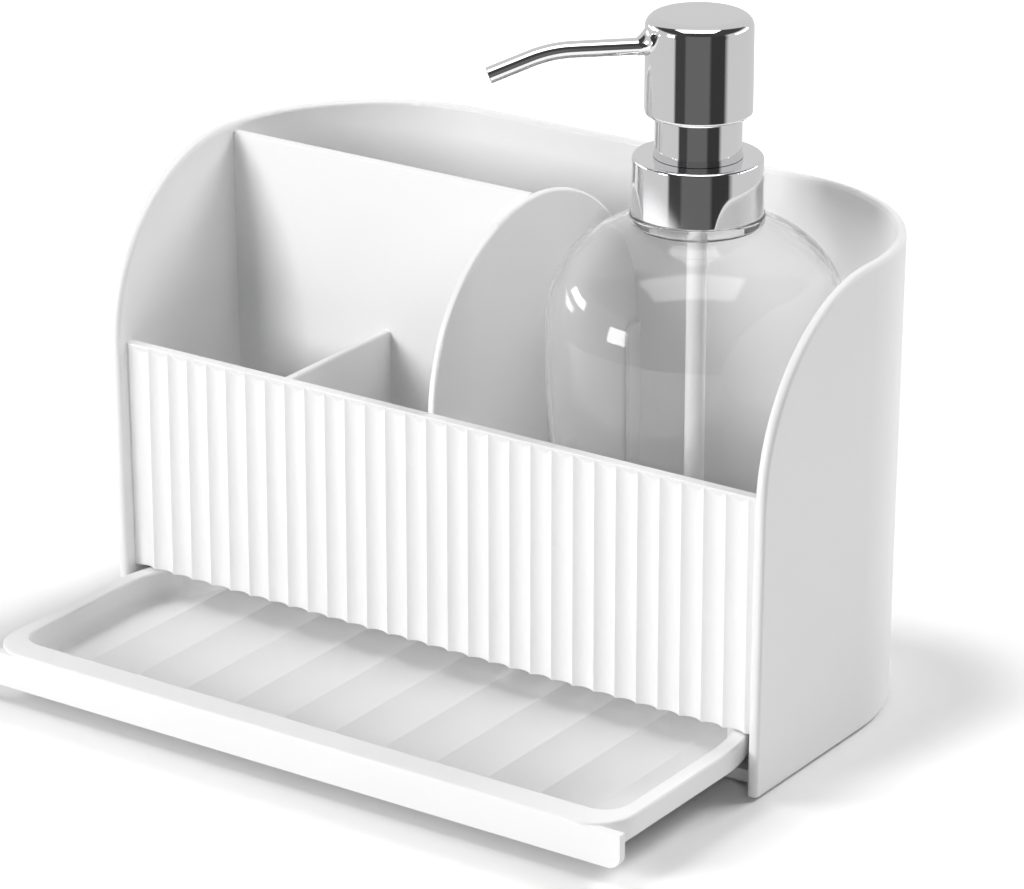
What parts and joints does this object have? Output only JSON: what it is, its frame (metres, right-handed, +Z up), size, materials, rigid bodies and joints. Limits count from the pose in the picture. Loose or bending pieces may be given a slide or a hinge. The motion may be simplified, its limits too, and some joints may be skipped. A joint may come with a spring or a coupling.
{
  "type": "soap pump caddy",
  "caption": "White sink caddy with a fluted front, divided cells, a pull-out drip tray and a clear bottle with a chrome press pump.",
  "frame": {"origin": "middle of the resting plane under the caddy with its tray drawn out as pictured", "axes": "+Z up, +X to the right and -Y to the front, where the tray comes out"},
  "size_m": [0.2, 0.1588, 0.1785],
  "materials": {
    "white_plastic": "satin",
    "foot_rubber": "matte",
    "clear_plastic": "clear",
    "chrome": "polished",
    "pump_plastic": "satin",
    "tube_plastic": "translucent",
    "gasket_rubber": "matte",
    "steel": "bright"
  },
  "bodies": {
    "caddy": {"shell": "white_plastic", "base_plate": "white_plastic", "feet": "foot_rubber", "drain_floor": "white_plastic", "front_panel": "white_plastic", "mid_divider": "white_plastic", "bay_partition": "white_plastic", "low_divider": "white_plastic"},
    "tray": {"drip_tray": "white_plastic"},
    "bottle": {"bottle": "clear_plastic"},
    "pump_body": {"pump_cylinder": "pump_plastic", "cylinder_cap": "pump_plastic", "sleeve": "chrome", "neck_gasket": "gasket_rubber", "dip_tube": "tube_plastic", "return_spring": "steel"},
    "collar": {"collar_shell": "chrome", "collar_insert": "pump_plastic"},
    "ball": {"inlet_ball": "steel"},
    "plunger": {"piston": "pump_plastic", "stem": "pump_plastic"},
    "head": {"head_shell": "chrome", "head_core": "pump_plastic", "spout_tube": "chrome"}
  },
  "joints": [
    {"name": "tray_slide", "type": "slide", "parent": "caddy", "child": "tray", "axis": [0, -1, 0], "range_m": [-0.056, 0.045]},
    {"name": "bottle_lift", "type": "slide", "parent": "caddy", "child": "bottle", "axis": [0, 0, 1], "range_m": [0, 0.115]},
    {"name": "pump_rise", "type": "slide", "parent": "bottle", "child": "pump_body", "axis": [0, 0, 1], "range_m": [0, 0.00525]},
    {"name": "collar_turn", "type": "hinge", "parent": "pump_body", "child": "collar", "pos_m": [0.04868, 0.0283, 0.1356], "axis": [0, 0, 1], "range_deg": [0, 452]},
    {"name": "ball_lift", "type": "slide", "parent": "pump_body", "child": "ball", "axis": [0, 0, 1], "range_m": [0, 0.001]},
    {"name": "pump_press", "type": "slide", "parent": "pump_body", "child": "plunger", "axis": [0, 0, -1], "range_m": [0, 0.009], "stiffness_N_per_m": 600, "springref_m": -0.004, "deforming": ["return_spring"]},
    {"name": "head_swivel", "type": "hinge", "parent": "plunger", "child": "head", "pos_m": [0.04868, 0.0283, 0.165], "axis": [0, 0, 1], "continuous": true}
  ],
  "couplings": [
    {"joint": "collar_turn", "follows": "pump_rise", "rad_per_m": 1496}
  ]
}
